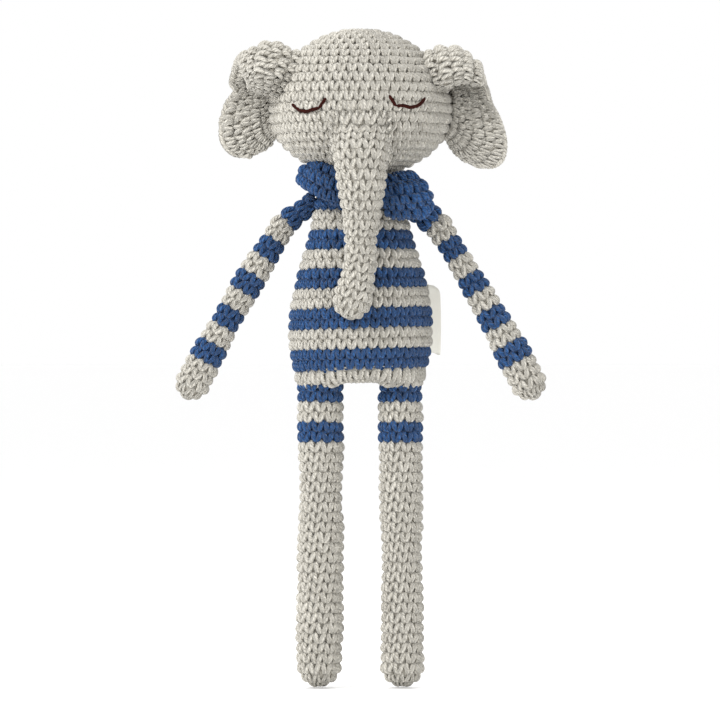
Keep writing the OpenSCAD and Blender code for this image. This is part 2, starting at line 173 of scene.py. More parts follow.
class Cloth:
    """Collects the strands and backing of one piece."""

    def __init__(self):
        self.verts, self.faces, self.uvs, self.tones = [], [], [], []
        self.count = 0

    def grid(self, pts, tone, uv, closed=True):
        """pts: (rows, sides, 3). Quads between neighbouring rows, round each row."""
        m, q = pts.shape[:2]
        idx = np.arange(m * q).reshape(m, q) + self.count
        nxt = np.roll(idx, -1, 1) if closed else idx[:, 1:]
        cur = idx if closed else idx[:, :-1]
        f = np.stack([cur[:-1], nxt[:-1], nxt[1:], cur[1:]], -1).reshape(-1, 4)
        self.verts.append(pts.reshape(-1, 3))
        self.faces.append(f)
        self.uvs.append(uv.reshape(-1, 2))
        self.tones.append(np.broadcast_to(tone, (m * q,)).astype(float))
        self.count += m * q

    def strands(self, mid, out, radius, tone, sides=7, ends=0.35):
        """mid and out: (strands, points, 3), the middle lines and the directions out of the cloth."""
        m, p = mid.shape[:2]
        d = unit(np.gradient(mid, axis=1))
        b = unit(np.cross(d, out))
        n = np.cross(b, d)
        phi = 2 * np.pi * np.arange(sides) / sides
        radius = np.asarray(radius, float).reshape(-1, 1) if np.ndim(radius) else radius
        r = np.broadcast_to(radius, (m, p)).copy()
        r[:, 0] *= ends
        r[:, -1] *= ends
        ring = np.cos(phi)[:, None] * n[:, :, None, :] + np.sin(phi)[:, None] * b[:, :, None, :]
        pts = mid[:, :, None, :] + r[:, :, None, None] * ring
        steps = np.linalg.norm(np.diff(mid, axis=1), axis=2)
        run = np.concatenate([np.zeros((m, 1)), np.cumsum(steps, 1)], 1)
        share = phi / (2 * np.pi)
        uv = np.stack(np.broadcast_arrays(run[:, :, None], share[None, None, :]), -1)
        base = self.count + np.arange(m)[:, None, None] * (p * sides)
        i = np.arange(p - 1)[None, :, None] * sides
        j = np.arange(sides)[None, None, :]
        k = (j + 1) % sides
        f = np.stack([base + i + j, base + i + k, base + i + sides + k, base + i + sides + j], -1)
        self.verts.append(pts.reshape(-1, 3))
        self.faces.append(f.reshape(-1, 4))
        self.uvs.append(uv.reshape(-1, 2))
        tone = np.asarray(tone, float).reshape(-1, 1, 1) if np.ndim(tone) else tone
        self.tones.append(np.broadcast_to(tone, (m, p, sides)).reshape(-1).astype(float))
        self.count += m * p * sides

    def rope(self, path, radius, out=None, tone=0.0, sides=8, n=None, ends=0.5):
        """One strand along a smooth line through points."""
        path = np.asarray(path, float)
        mid = resample(path, n or 4 * len(path))[None]
        if out is None:
            out = np.zeros_like(mid) + [0.1, -1, 0.2]
        else:
            out = resample(np.asarray(out, float), mid.shape[1])[None]
        self.strands(mid, out, radius, tone, sides, ends)

    def round(self, surf, k, n, shift, flip=1, fat=1.0, turns=(0, 1), loose=1.0):
        """One round of n stitches, from row k to k + 1 of a surface."""
        lean = 0.1
        i = np.arange(n)
        span = turns[1] - turns[0]
        width = span / n
        jig = RNG.normal(0, 1, (4, n)) * loose
        for path, mirrors, pts, thin in ((LEG, (1, -1), 11, 1.0), (BAR, (1,), 7, 0.62)):
            line = resample(path, pts)
            for mirror in mirrors:
                u = mirror * line[:, 0][None] + lean * (line[:, 1][None] - 0.4) + 0.022 * jig[0][:, None]
                u = u * (1 + 0.04 * jig[1][:, None])
                v = line[:, 1][None] * (1 + 0.03 * jig[2][:, None]) + 0.025 * jig[3][:, None]
                turn = turns[0] + (i[:, None] + 0.5 + u + shift) * width
                t = k + v
                at = surf(turn, t)
                out = normals(surf, turn, t, flip)
                ahead, behind = (surf(turn[:, :1] + step, t[:, :1]) for step in (width / 2, -width / 2))
                size = np.linalg.norm(ahead - behind, axis=2)
                yarn = YARN * fat * np.clip(size[:, 0] / FULL_STITCH, 0.55, 1.12) * thin * (1 + 0.04 * jig[2])
                w = (line[:, 2][None] + 0.1 * jig[1][:, None]) * yarn[:, None]
                self.strands(at + w[..., None] * out, out, yarn, RNG.normal(0, 1, n) * 0.5)

    def backing(self, surf, k, sides):
        """A sheet deep between the stitches of round k, darkened as painted shade for the shadow in the pits
        between them.
        """
        t = np.linspace(k - 0.3, k + 1.05, 3)
        turn = np.arange(sides) / sides
        tt, aa = np.meshgrid(t, turn, indexing="ij")
        pts = surf(aa, tt) - 0.02 * YARN * normals(surf, aa, tt)
        self.grid(pts, BACKING_PAINTED_SHADE, np.zeros(pts.shape[:2] + (2,)))

    def piece(self, name, material, slot):
        v = np.concatenate(self.verts) / 1000
        v[:, 2] += TOE_Z / 1000
        f = np.concatenate(self.faces)
        mesh = bpy.data.meshes.new(name)
        mesh.vertices.add(len(v))
        mesh.vertices.foreach_set("co", v.ravel().astype(np.float32))
        mesh.loops.add(f.size)
        mesh.loops.foreach_set("vertex_index", f.ravel().astype(np.int32))
        mesh.polygons.add(len(f))
        mesh.polygons.foreach_set("loop_start", np.arange(0, f.size, 4, dtype=np.int32))
        mesh.update(calc_edges=True)
        mesh.validate()
        uv = mesh.uv_layers.new(name="strand")
        uv.data.foreach_set("uv", np.concatenate(self.uvs)[f.ravel()].ravel().astype(np.float32))
        tone = mesh.attributes.new("tone", "FLOAT", "POINT")
        tone.data.foreach_set("value", np.concatenate(self.tones).astype(np.float32))
        mesh.polygons.foreach_set("use_smooth", np.ones(len(f), bool))
        mesh.materials.append(material)
        obj = bpy.data.objects.new(name, mesh)
        bpy.context.scene.collection.objects.link(obj)
        return obj


def weld(obj):
    """Joins the edges of grids that meet, so that the piece is one closed surface."""
    made = bmesh.new()
    made.from_mesh(obj.data)
    bmesh.ops.remove_doubles(made, verts=made.verts, dist=2e-5)
    bmesh.ops.recalc_face_normals(made, faces=made.faces)
    made.to_mesh(obj.data)
    made.free()


def count_at(surf, t, stitch=STITCH):
    return max(LEAST, round(surf.size(t) / stitch))


def work(surf, rows, colour=None, counts=None):
    """Rounds of stitches over a tube: colour(k) names the cloth of round k. Returns the cloths by name."""
    cloths, drift = {}, 0.0
    for k in rows:
        cloth = cloths.setdefault(colour(k) if colour else "one", Cloth())
        n = counts(k) if counts else count_at(surf, k + 0.45)
        drift += DRIFT
        cloth.round(surf, k, n, drift)
        cloth.backing(surf, k, max(24, n * 2))
    return cloths


# ---------------------------------------------------------------- materials
def material(name, colour, dark, sheen, bump=0.8, ply=3.0, flecks=0.2, painted_highlight=1.35):
    """Yarn or tape: plies twisted along the strand, fibres lying along them, and flecks; with painted shade
    in the ply grooves and on the backing sheets, and a painted highlight at the ramp's light end.
    """
    mat = bpy.data.materials.new(name)
    mat.use_nodes = True
    nodes, links = mat.node_tree.nodes, mat.node_tree.links
    nodes.clear()
    out = nodes.new("ShaderNodeOutputMaterial")
    shader = nodes.new("ShaderNodeBsdfPrincipled")
    links.new(shader.outputs[0], out.inputs[0])
    shader.inputs["Roughness"].default_value = 0.85
    shader.inputs["Sheen Weight"].default_value = sheen
    shader.inputs["Sheen Roughness"].default_value = 0.5
    shader.inputs["Specular IOR Level"].default_value = 0.15

    def math_node(op, a, b=None):
        node = nodes.new("ShaderNodeMath")
        node.operation = op
        for i, x in enumerate((a, b)):
            if isinstance(x, (int, float)):
                node.inputs[i].default_value = x
            elif x is not None:
                links.new(x, node.inputs[i])
        return node.outputs[0]

    uv = nodes.new("ShaderNodeUVMap")
    uv.uv_map = "strand"
    split = nodes.new("ShaderNodeSeparateXYZ")
    links.new(uv.outputs[0], split.inputs[0])
    coords = nodes.new("ShaderNodeTexCoord")
    fine = nodes.new("ShaderNodeTexNoise")
    fine.inputs["Scale"].default_value = 1500
    fine.inputs["Detail"].default_value = 3
    links.new(coords.outputs["Object"], fine.inputs["Vector"])
    broad = nodes.new("ShaderNodeTexNoise")
    broad.inputs["Scale"].default_value = 260
    broad.inputs["Detail"].default_value = 3
    links.new(coords.outputs["Object"], broad.inputs["Vector"])
    along = math_node("MULTIPLY", split.outputs[0], 0.55)
    turn = math_node("ADD", along, math_node("MULTIPLY", split.outputs[1], ply))
    twist = math_node("SINE", math_node("MULTIPLY", turn, 2 * math.pi))
    # fibres lie along the plies
    lay = nodes.new("ShaderNodeCombineXYZ")
    links.new(math_node("MULTIPLY", turn, 2.2), lay.inputs[0])
    links.new(math_node("MULTIPLY", split.outputs[0], 0.35), lay.inputs[1])
    streaks = nodes.new("ShaderNodeTexNoise")
    streaks.inputs["Scale"].default_value = 2.0
    streaks.inputs["Detail"].default_value = 2
    fuzz = math_node("MULTIPLY", fine.outputs[0], 0.8)
    height = math_node("ADD", math_node("MULTIPLY", twist, 0.6), fuzz)
    height = math_node("ADD", height, streaks.outputs[0])
    bump_node = nodes.new("ShaderNodeBump")
    bump_node.inputs["Strength"].default_value = bump
    bump_node.inputs["Distance"].default_value = 0.0007
    links.new(height, bump_node.inputs["Height"])
    links.new(bump_node.outputs[0], shader.inputs["Normal"])
    tone = nodes.new("ShaderNodeAttribute")
    tone.attribute_name = "tone"
    links.new(math_node("MULTIPLY", tone.outputs["Fac"], 7.3), lay.inputs[2])
    links.new(lay.outputs[0], streaks.inputs["Vector"])
    # painted shade: the tone attribute holds each strand's random tone and the backing sheets' painted shade,
    # and the twist term darkens the grooves between plies and lightens their crowns
    shade = math_node("MULTIPLY", tone.outputs["Fac"], 0.06)
    shade = math_node("ADD", shade, math_node("MULTIPLY", twist, 0.11))
    for noise, share in ((streaks, 1.3), (fine, 2 * flecks), (broad, flecks)):
        about_zero = math_node("SUBTRACT", noise.outputs[0], 0.5)
        shade = math_node("ADD", shade, math_node("MULTIPLY", about_zero, share))
    level = math_node("ADD", shade, 0.6)
    mix = nodes.new("ShaderNodeValToRGB")
    mix.color_ramp.elements[0].position = 0.0
    mix.color_ramp.elements[0].color = (*dark, 1)
    mix.color_ramp.elements[1].position = 1.0
    # the ramp's light end brightens the colour past its own as a painted highlight on the yarn
    mix.color_ramp.elements[1].color = (*[min(1, c * painted_highlight) for c in colour], 1)
    middle = mix.color_ramp.elements.new(0.6)
    middle.color = (*colour, 1)
    links.new(level, mix.inputs[0])
    links.new(mix.outputs[0], shader.inputs["Base Color"])
    return mat


def linear(r, g, b):
    return tuple((c / 255 / 12.92) if c <= 10 else ((c / 255 + 0.055) / 1.055) ** 2.4 for c in (r, g, b))


# each yarn's second colour is the dark end of its ramp, reached by random tone and by painted shade; blue's
# painted highlight is the strongest
GREY = material("yarn_grey", linear(203, 199, 189), linear(118, 111, 96), 0.2)
BLUE = material("yarn_blue", linear(38, 74, 120), linear(10, 20, 44), 0.15, painted_highlight=2.2)
THREAD = material("eye_thread", linear(56, 14, 6), linear(18, 4, 2), 0.0, ply=2.0)
WHITE, SHADE = linear(222, 220, 210), linear(176, 173, 162)
TAPE = material("label_tape", WHITE, SHADE, 0.1, bump=0.2, ply=0.0, flecks=0.04)


# ---------------------------------------------------------------- head
def head_r(z):
    """Radius of the head: round above its widest place, and tapering to the chin below it."""
    h = z - HEAD_Z
    above = np.sqrt(np.maximum(0, 1 - (h / HEAD_UP) ** 2))
    below = (1 - np.clip(-h / HEAD_DOWN, 0, 1) ** 2.2) ** 0.75
    return HEAD_W * np.where(h > 0, above, below)


def head_surface():
    h = np.linspace(-30.0, 0, 120)[:-1]
    a = np.radians(np.linspace(0, 89.6, 200))
    z = HEAD_Z + np.concatenate([h, HEAD_UP * np.sin(a)])
    return spun(np.stack([0 * z, 0 * z, z], -1), head_r(z))


def on_head(x, z, off):
    """A point on the front of the head, off millimetres out of it."""
    r = head_r(z)
    y = -np.sqrt(np.maximum(r * r - x * x, 0))
    b = np.where(z > HEAD_Z, HEAD_UP, HEAD_DOWN)
    n = unit(np.stack([x / HEAD_W**2, y / HEAD_W**2, (z - HEAD_Z) / b**2], -1))
    return np.stack([x, y, z], -1) + off * n, n


def build_head():
    surf = head_surface()
    rows = int(surf.t[-1]) + 1
    surf.t *= rows / surf.t[-1]
    half = rows // 2
    cloths = work(surf, range(rows), lambda k: "low" if k < half else "high")
    low = cloths["low"].piece("head_lower_crochet", GREY, "yarn_grey")
    high = cloths["high"].piece("head_upper_crochet", GREY, "yarn_grey")
    for obj in (low, high):
        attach(obj, "head")
        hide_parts("head_cover", "head_stuffing")


def build_eyes():
    lids = {
        # points along each closed lid, outwards and up from the middle of the head
        LEFT: [
            (13.0, 6.2), (14.4, 4.0), (16.2, 1.4), (19.4, 1.7),
            (22.6, 1.0), (25.8, 1.7), (27.6, 3.0), (29.4, 5.6),
        ],
        RIGHT: [
            (15.8, 5.0), (17.2, 3.0), (19.0, 0.6), (21.6, 0.0),
            (24.6, -0.8), (27.6, -0.3), (29.4, 1.0), (31.2, 2.6),
        ],
    }
    for side, lid in lids.items():
        cloth = Cloth()
        pts = np.array(lid)
        x, h = side * pts[:, 0], pts[:, 1]
        for a in (0, 2, 3, 4, 5):
            at, out = on_head(x[a : a + 3], HEAD_Z + h[a : a + 3], CLOTH)
            at[0] -= 0.3 * out[0]
            at[-1] -= 0.3 * out[-1]
            cloth.rope(at, 0.85, out, sides=8, n=9, ends=0.7)
        obj = cloth.piece(f"eye_{SIDE_NAME[side]}_thread", THREAD, "eye_thread")
        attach(obj, "head")
        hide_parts(f"eye_{SIDE_NAME[side]}")


# ---------------------------------------------------------------- trunk
def trunk_surface():
    # x, y, height from the middle of the head, half width and half depth, from the tip up to the sewn root
    spine = np.array([
        (-6.4, -36.8, -99.6, 0.4, 0.4), (-6.0, -36.8, -98.6, 4.0, 4.0), (-5.2, -36.8, -96.0, 6.0, 6.0),
        (-4.0, -36.8, -92.0, 7.0, 7.0), (-2.4, -36.8, -86.0, 6.6, 6.6), (-1.0, -36.9, -79.0, 5.6, 6.0),
        (-0.3, -37.2, -72.0, 5.2, 5.8), (0.0, -37.8, -65.5, 5.2, 6.0), (0.3, -38.6, -58.0, 6.0, 6.8),
        (0.4, -40.4, -51.0, 6.6, 7.2), (0.4, -41.8, -43.0, 8.4, 7.4), (0.3, -42.6, -35.0, 9.7, 7.6),
        (0.2, -42.0, -27.0, 10.9, 8.2), (0.1, -40.6, -19.5, 12.1, 8.2), (0.0, -39.2, -12.0, 12.6, 7.4),
        (0.0, -39.2, -7.5, 12.5, 7.2), (0.0, -39.0, -4.6, 12.3, 7.0), (0.0, -38.8, -2.8, 12.0, 6.2),
        (0.0, -37.4, -1.6, 11.2, 4.6), (0.0, -33.0, -0.8, 8.0, 2.0),
    ])
    line = resample(spine, 260)
    pts, rx, ry = line[:, :3] + [0, 0, HEAD_Z], line[:, 3], line[:, 4]
    face = pts - np.stack([0 * ry, ry, 0 * ry], -1)
    step = np.linalg.norm(np.diff(face, axis=0), axis=1)
    side = np.linalg.norm(np.diff(pts + np.stack([rx, 0 * rx, 0 * rx], -1), axis=0), axis=1)
    t = np.concatenate([[0], np.cumsum((step + side) / 2)]) / ROW
    return spun(pts, rx, ry, t=t)


def build_trunk():
    surf = trunk_surface()
    mid, bend = joint_at("trunk_curl"), joint_at("trunk_lift")
    rows = int(1.1 * surf.t[-1] + 0.4)
    surf.t *= rows / surf.t[-1]
    heights = surf.cols[0][:, 2]
    split = int(round(np.interp((mid[2] + bend[2]) / 2, heights[:200], surf.t[:200])))

    def colour(k):
        return "tip" if k < split else "root"

    cloths = work(surf, range(rows), colour, lambda k: count_at(surf, k + 0.45, stitch=4.7))
    tip = cloths["tip"].piece("trunk_tip_crochet", GREY, "yarn_grey")
    # whip stitches that hold the trunk's rim to the face
    sewn = [(x, -1.2, 0.86, -2.2) for x in np.linspace(-11, 11, 8)]
    sewn += [(side * 13.8, h, 0.84, -1.0) for side in (LEFT, RIGHT) for h in np.linspace(-4, -20, 6)]
    for x, h, inwards, down in sewn:
        face, out = on_head(np.array([x, x * inwards]), HEAD_Z + np.array([h + 0.6, h + down]), CLOTH)
        face[0] -= 0.3 * out[0]
        face[1] += 2.6 * out[1]
        crest = face.mean(0) + 1.5 * out[0]
        cloths["root"].rope([face[0], crest, face[1]], 0.8, [out[0], out[0], out[1]], sides=6, n=7, tone=0.4)
    root = cloths["root"].piece("trunk_root_crochet", GREY, "yarn_grey")
    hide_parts("trunk_root_cover", "trunk_root_stuffing", "trunk_upper_cover", "trunk_upper_stuffing")
    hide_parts("trunk_upper_cover", "trunk_upper_stuffing", "trunk_tip_cover", "trunk_tip_stuffing")
    reach(root)
    reach(tip)


def reach(obj):
    """Bakes the piece's placement into its mesh."""
    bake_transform(obj)


# ---------------------------------------------------------------- torso
def torso_half(z):
    t, bt = (z - TORSO_Z) / (TORSO_TOP - TORSO_Z), 22 / 87.3
    low = 35.9 - 3.9 * (np.clip(bt - t, 0, 1) / bt) ** 2
    u = np.clip((t - bt) / (1 - bt), 0, 1)
    high = 23.6 + 12.3 * (np.cos(np.pi * u**1.12) + 1) / 2
    return np.where(t < bt, low, high)


class Sagging:
    """The torso's surface, with its lower rounds tilted down to the doll's right and its underside shaped."""

    def __init__(self, surf):
        self.surf, self.size = surf, surf.size

    def __call__(self, turn, t):
        p = self.surf(turn, t)
        share = smooth((228 - p[..., 2]) / 45) * smooth((p[..., 2] - TORSO_Z) / 6)
        p[..., 2] += share * (0.03 * p[..., 0] + 1.2)
        # the hips run straight on into the legs, and the cloth arches up between them
        u = np.clip((TORSO_Z + 5.4 - p[..., 2]) / 4.5, 0, 1)
        hip = smooth((np.abs(p[..., 0]) - 17) / 7)
        p[..., 0] += np.sign(p[..., 0]) * hip * 5.2 * (1 - np.sqrt(1 - u * u))
        p[..., 1] *= 1 - 0.32 * smooth((TORSO_Z + 7 - p[..., 2]) / 8)
        over_leg = smooth((np.abs(p[..., 0]) - 7) / 8)
        p[..., 2] -= (3.0 * over_leg - 0.8) * smooth((TORSO_Z + 8 - p[..., 2]) / 8)
        return p


def build_torso():
    inset = CLOTH
    hip = 155.4
    z = np.linspace(hip, TORSO_TOP, 200)
    half = torso_half(z) - inset
    t = (z - hip) / ROW
    # the hip round rolls under and closes the underside
    a = np.radians(np.linspace(0, 90, 30))[1:]
    roll_z = hip - (hip - TORSO_Z - 0.9) * np.sin(a)
    roll_r = half[0] - 6.5 * (1 - np.cos(a))
    flat_r = np.linspace(roll_r[-1], 3, 40)[1:]
    flat_z = np.full(39, roll_z[-1])
    zs = np.concatenate([flat_z[::-1], roll_z[::-1]])
    rs = np.concatenate([flat_r[::-1], roll_r[::-1]])
    step = np.hypot(np.diff(np.append(zs, hip)), np.diff(np.append(rs, half[0])))
    below = -np.cumsum(step[::-1])[::-1] / ROW
    zs, rs = np.concatenate([zs, z]), np.concatenate([rs, half])
    ts = np.concatenate([below, t])
    pts = np.stack([0 * zs, 0 * zs, zs], -1)
    surf = Sagging(stood(ts, pts, rs, rs * TORSO_D / TORSO_W))
    first = math.ceil(ts[0])
    top = int(round((TORSO_TOP - hip) / ROW))

    def colour(k):
        return "blue" if k >= 0 and (k // 2) % 2 == 0 else "grey"

    def counts(k):
        return 42 if 0 <= k < 9 else count_at(surf, k + 0.5)

    cloths = work(surf, range(first, top), colour, counts)
    for name, mat in (("grey", GREY), ("blue", BLUE)):
        obj = cloths[name].piece(f"torso_{name}_crochet", mat, f"yarn_{name}")
        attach(obj, "torso")
        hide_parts(f"torso_cover_{name}", "torso_stuffing")


# ---------------------------------------------------------------- legs
def build_leg(side):
    name = SIDE_NAME[side]
    hip, knee = joint_at(f"leg_{name}_swing"), joint_at(f"knee_{name}_bend")
    x, cap = hip[0], 140.4
    r = 10.9 - CLOTH
    a = np.radians(np.linspace(2, 90, 60))
    toe_z = r - r * np.cos(a) + 1.7
    toe_r = r * np.sin(a)
    z = np.linspace(toe_z[-1], 151.5, 240)[1:]
    swell = 0.35 * np.sin(z / 17.0 + side) + 0.25 * np.sin(z / 7.3 + 2 * side)
    zs = np.concatenate([toe_z, z])
    rs = np.concatenate([toe_r, r + swell - swell[0]])
    step = np.concatenate([[0], np.cumsum(np.hypot(np.diff(zs), np.diff(rs)))])
    ts = (step - np.interp(cap, zs, step)) / ROW
    bow = 0.5 * np.sin(zs / 40 + side)
    pts = np.stack([x + bow, 0 * zs, zs], -1)
    surf = stood(ts, pts, rs, rs)
    first = math.ceil(ts[0] - 0.4)
    surf.t[0] = min(surf.t[0], first)
    fold = -int(round((cap - (hip[2] + knee[2]) / 2) / ROW))

    def colour(k):
        if k >= 0 or -4 <= k < -2:
            return "blue"
        return "grey" if k >= fold else "shin"

    def counts(k):
        return 11 if k > first + 2 else count_at(surf, k + 0.6)

    cloths = work(surf, range(first, 3), colour, counts)
    for part, mat in (("blue", BLUE), ("grey", GREY)):
        obj = cloths[part].piece(f"thigh_{name}_{part}_crochet", mat, f"yarn_{part}")
        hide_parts(f"thigh_{name}_{part}", f"thigh_{name}_stuffing")
        reach(obj)
    obj = cloths["shin"].piece(f"shin_{name}_crochet", GREY, "yarn_grey")
    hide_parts(f"shin_{name}_cover", f"shin_{name}_stuffing")
    reach(obj)


# ---------------------------------------------------------------- arms
def build_arm(side):
    name = SIDE_NAME[side]
    pivot = joint_at(f"arm_{name}_raise")
    lean = math.radians(30)
    down = np.array([side * math.sin(lean), 0, -math.cos(lean)])
    inset = CLOTH
    root_r, hand_r, length = 5.6 - inset + 0.5, 8.6 - inset + 0.3, 111.0 - inset
    a = np.radians(np.linspace(3, 90, 60))
    tip = (length - hand_r + hand_r * np.cos(a), hand_r * np.sin(a))
    d = np.linspace(length - hand_r, 0, 220)[1:]
    bulge = 0.5 * np.sin(d / 13 + side) + 0.3 * np.sin(d / 6.1)
    straight = length - hand_r
    r = hand_r + (root_r - hand_r) * (1 - d / straight) + bulge * np.minimum(1, (straight - d) / 20)
    end_a = np.radians(np.linspace(0, 70, 20))[1:]
    ds = np.concatenate([tip[0], d, -root_r * np.sin(end_a)])
    rs = np.concatenate([tip[1], r, r[-1] * np.cos(end_a)])
    step = np.concatenate([[0], np.cumsum(np.hypot(np.diff(ds), np.diff(rs)))])
    ts = (step - np.interp(0, -ds, step)) / ROW
    inwards = 6.2 * smooth((13 - ds) / 13)
    bow = side * (1.6 * np.sin(ds / 35) - inwards)
    pts = pivot + ds[:, None] * down + np.stack([bow, 0 * ds, 0 * ds], -1)
    surf = spun(pts, rs, t=ts, e1=(0, -1, 0))
    first = math.ceil(ts[0] - 0.4)
    surf.t[0] = min(surf.t[0], first)

    def colour(k):
        j = -k - 1
        return "blue" if j < 18 and (j // 2) % 2 == 0 or j < 0 else "grey"

    cloths = work(surf, range(first, 2), colour, lambda k: count_at(surf, k + 0.6))
    for part, mat in (("grey", GREY), ("blue", BLUE)):
        obj = cloths[part].piece(f"arm_{name}_{part}_crochet", mat, f"yarn_{part}")
        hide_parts(f"arm_{name}_{part}", f"arm_{name}_stuffing")
        reach(obj)


# ---------------------------------------------------------------- sheets: ears and collar lobes
class Pillow:
    """A flat bag over a net of points. Its rows run out from root to rim on the front, and back behind."""

    def __init__(self, net, thick, rows, rib, rib_rows):
        self.net = net  # (lines, points along a line, 3)
        self.thick, self.rows = thick, rows
        self.rib, self.rib_rows = rib, rib_rows
        lines = np.stack([resample(l, 41) for l in net])
        self.grid = np.stack([resample(lines[:, i], 81) for i in range(41)], 1)

    def middle(self, b, q):
        g = self.grid
        x, y = np.clip(b, 0, 1) * 80, np.clip(q, 0, 1) * 40
        i, j = np.minimum(x.astype(int), 79), np.minimum(y.astype(int), 39)
        f, h = (x - i)[..., None], (y - j)[..., None]
        near = g[i, j] * (1 - f) + g[i + 1, j] * f
        far = g[i, j + 1] * (1 - f) + g[i + 1, j + 1] * f
        return near * (1 - h) + far * h

    def side(self, b, q):
        e = 0.01
        du = self.middle(b + e, q) - self.middle(b - e, q)
        dv = self.middle(b, q + e) - self.middle(b, q - e)
        return unit(np.cross(dv, du))

    def __call__(self, turn, t):
        b = turn
        q = 1 - np.abs(1 - t / self.rows)
        face = np.where(t < self.rows, 1.0, -1.0)
        to_rim = np.sqrt(np.clip(1 - np.clip(q, 0, 1) ** 4, 0, 1))
        to_sides = np.sqrt(np.clip(np.sin(np.pi * np.clip(b, 0, 1)) * 2.5, 0, 1))
        puff = to_rim * to_sides
        ribs = self.rib * (np.abs(np.sin(np.pi * q * self.rows / self.rib_rows)) - 0.6)
        return self.middle(b, q) + (face * puff * (self.thick + ribs))[..., None] * self.side(b, q)


def work_pillow(surf, columns, fat):
    """Rows of stitches on both faces of a pillow, and a sheet between them darkened as painted shade."""
    flip = -1
    cloth = Cloth()
    rows = int(2 * surf.rows)
    for k in range(rows):
        cloth.round(surf, k, columns, 0.0, flip=flip, fat=fat, loose=1.4, turns=(0.02, 0.98))
    t = np.linspace(0, 2 * surf.rows, 4 * int(surf.rows) + 1)
    b = np.linspace(0, 1, 2 * columns + 1)
    tt, bb = np.meshgrid(t, b, indexing="ij")
    pts = surf(bb, tt) - 0.15 * YARN * normals(surf, bb, tt, flip)
    cloth.grid(pts, PILLOW_PAINTED_SHADE, np.zeros(pts.shape[:2] + (2,)), closed=False)
    return cloth


EAR_NET = {
    # lines from the head outwards: the hood's free edge, its front, top, back, then down the lower lobe
    LEFT: [
        [(36.5, -17.5, 15), (42, -23, 11.5), (48.5, -23, 16), (57.5, -15, 16)],
        [(34, -17, 21), (41, -24, 21), (50, -22, 23), (59.5, -14, 19.5)],
        [(31, -12.5, 26), (38, -16, 31), (49, -14, 30.5), (59.5, -8, 24)],
        [(30, -4, 28.5), (38.5, -2, 32.5), (50, 0, 31), (60.5, 0, 21)],
        [(36, 2, 21), (45, 4, 21), (54, 5, 19), (62, 1, 12.5)],
        [(42, 2, 12), (48, 4, 10), (56, 4, 7.5), (64, 1, 4.5)],
        [(44, 0, 5), (50, 0, 1), (58, 0, -1), (68, -1, -3)],
        [(44.5, -1, -2), (51, -2, -8), (60, -3, -12), (71, -2, -14)],
        [(43.5, -1, -6), (49, -2, -13), (57, -3, -19.5), (69.5, -2, -24)],
        [(42.5, -1, -9), (46, -2, -15), (52, -2, -21.5), (63, -1, -27)],
        [(40.5, -1, -12), (43, -1, -15), (46.5, -1, -18.5), (53, 0, -23.5)],
    ],
    RIGHT: [
        [(-42, -14, 7), (-46, -20, 7), (-50, -22, 8.5), (-54, -20, 10.5)],
        [(-38.5, -17, 13), (-44, -23, 15), (-50, -24, 16), (-54.5, -21, 16.5)],
        [(-34.5, -16.5, 21), (-42, -23, 24), (-50, -23, 25), (-57, -17, 24)],
        [(-30, -12, 28), (-38, -14, 32.5), (-48, -13, 34), (-60, -8, 30)],
        [(-31, -3, 28), (-40, -1, 31.5), (-51, 0, 30.5), (-63.5, 0, 23.5)],
        [(-37, 2, 20), (-46, 5, 21), (-55, 5, 20), (-64, 1, 17.5)],
        [(-42, 2, 12), (-48, 4, 12), (-55, 4, 11.5), (-62, 1, 11)],
        [(-44, 0, 5), (-50, 0, 4.5), (-58, 0, 4), (-67, -1, 3.5)],
        [(-44.5, -1, -1), (-51, -2, -4), (-60, -3, -7), (-69.5, -2, -8.5)],
        [(-43.5, -1, -6), (-49, -2, -11), (-57, -3, -15.5), (-67.5, -2, -16.5)],
        [(-42.5, -1, -9), (-46, -2, -13.5), (-52, -2, -18), (-60.5, -1, -21.5)],
        [(-41.5, -1, -12), (-44, -1, -13), (-47, -1, -15), (-50.5, 0, -16.5)],
    ],
}


def build_ear(side):
    name = SIDE_NAME[side]
    net = np.array(EAR_NET[side], float)
    # the net is drawn along the ear's outline, and the cloth's thickness comes on top of it
    net[..., 2] -= (6.0 if side == LEFT else 5.2) * smooth((net[..., 2] - 8) / 16)
    net[..., 2] += 1.2 * smooth((-14 - net[..., 2]) / 8)
    far = np.maximum(np.abs(net[..., 0]) - 42, 0)
    net[..., 0] -= side * (0.06 if side == LEFT else 0.09) * far
    net[..., 2] += HEAD_Z
    surf = Pillow(net, 2.4, 6.0, 1.6, 1.5)
    columns = 22
    cloth = work_pillow(surf, columns, fat=0.95)
    rim = np.linspace(0.03, 0.97, 90)
    for start, tone in ((0.0, 0.6), (0.5, -0.6)):
        # two strands twist round each other along the rim
        turn = 2 * np.pi * (rim * columns + start)
        out = unit(surf.middle(rim, np.full(90, 1.0)) - surf.middle(rim, np.full(90, 0.9)))
        across = surf.side(rim, np.full(90, 0.97))
        path = surf.middle(rim, np.full(90, 1.0)) + (0.9 + 0.5 * np.cos(turn))[:, None] * out
        path = path + (0.8 * np.sin(turn))[:, None] * across
        cloth.rope(path, 1.15, out, sides=7, n=260, tone=tone)
    obj = cloth.piece(f"ear_{name}_crochet", GREY, "yarn_grey")
    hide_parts(f"ear_{name}")
    seam = joint_at(f"ear_{name}_flap")
    reach(obj)


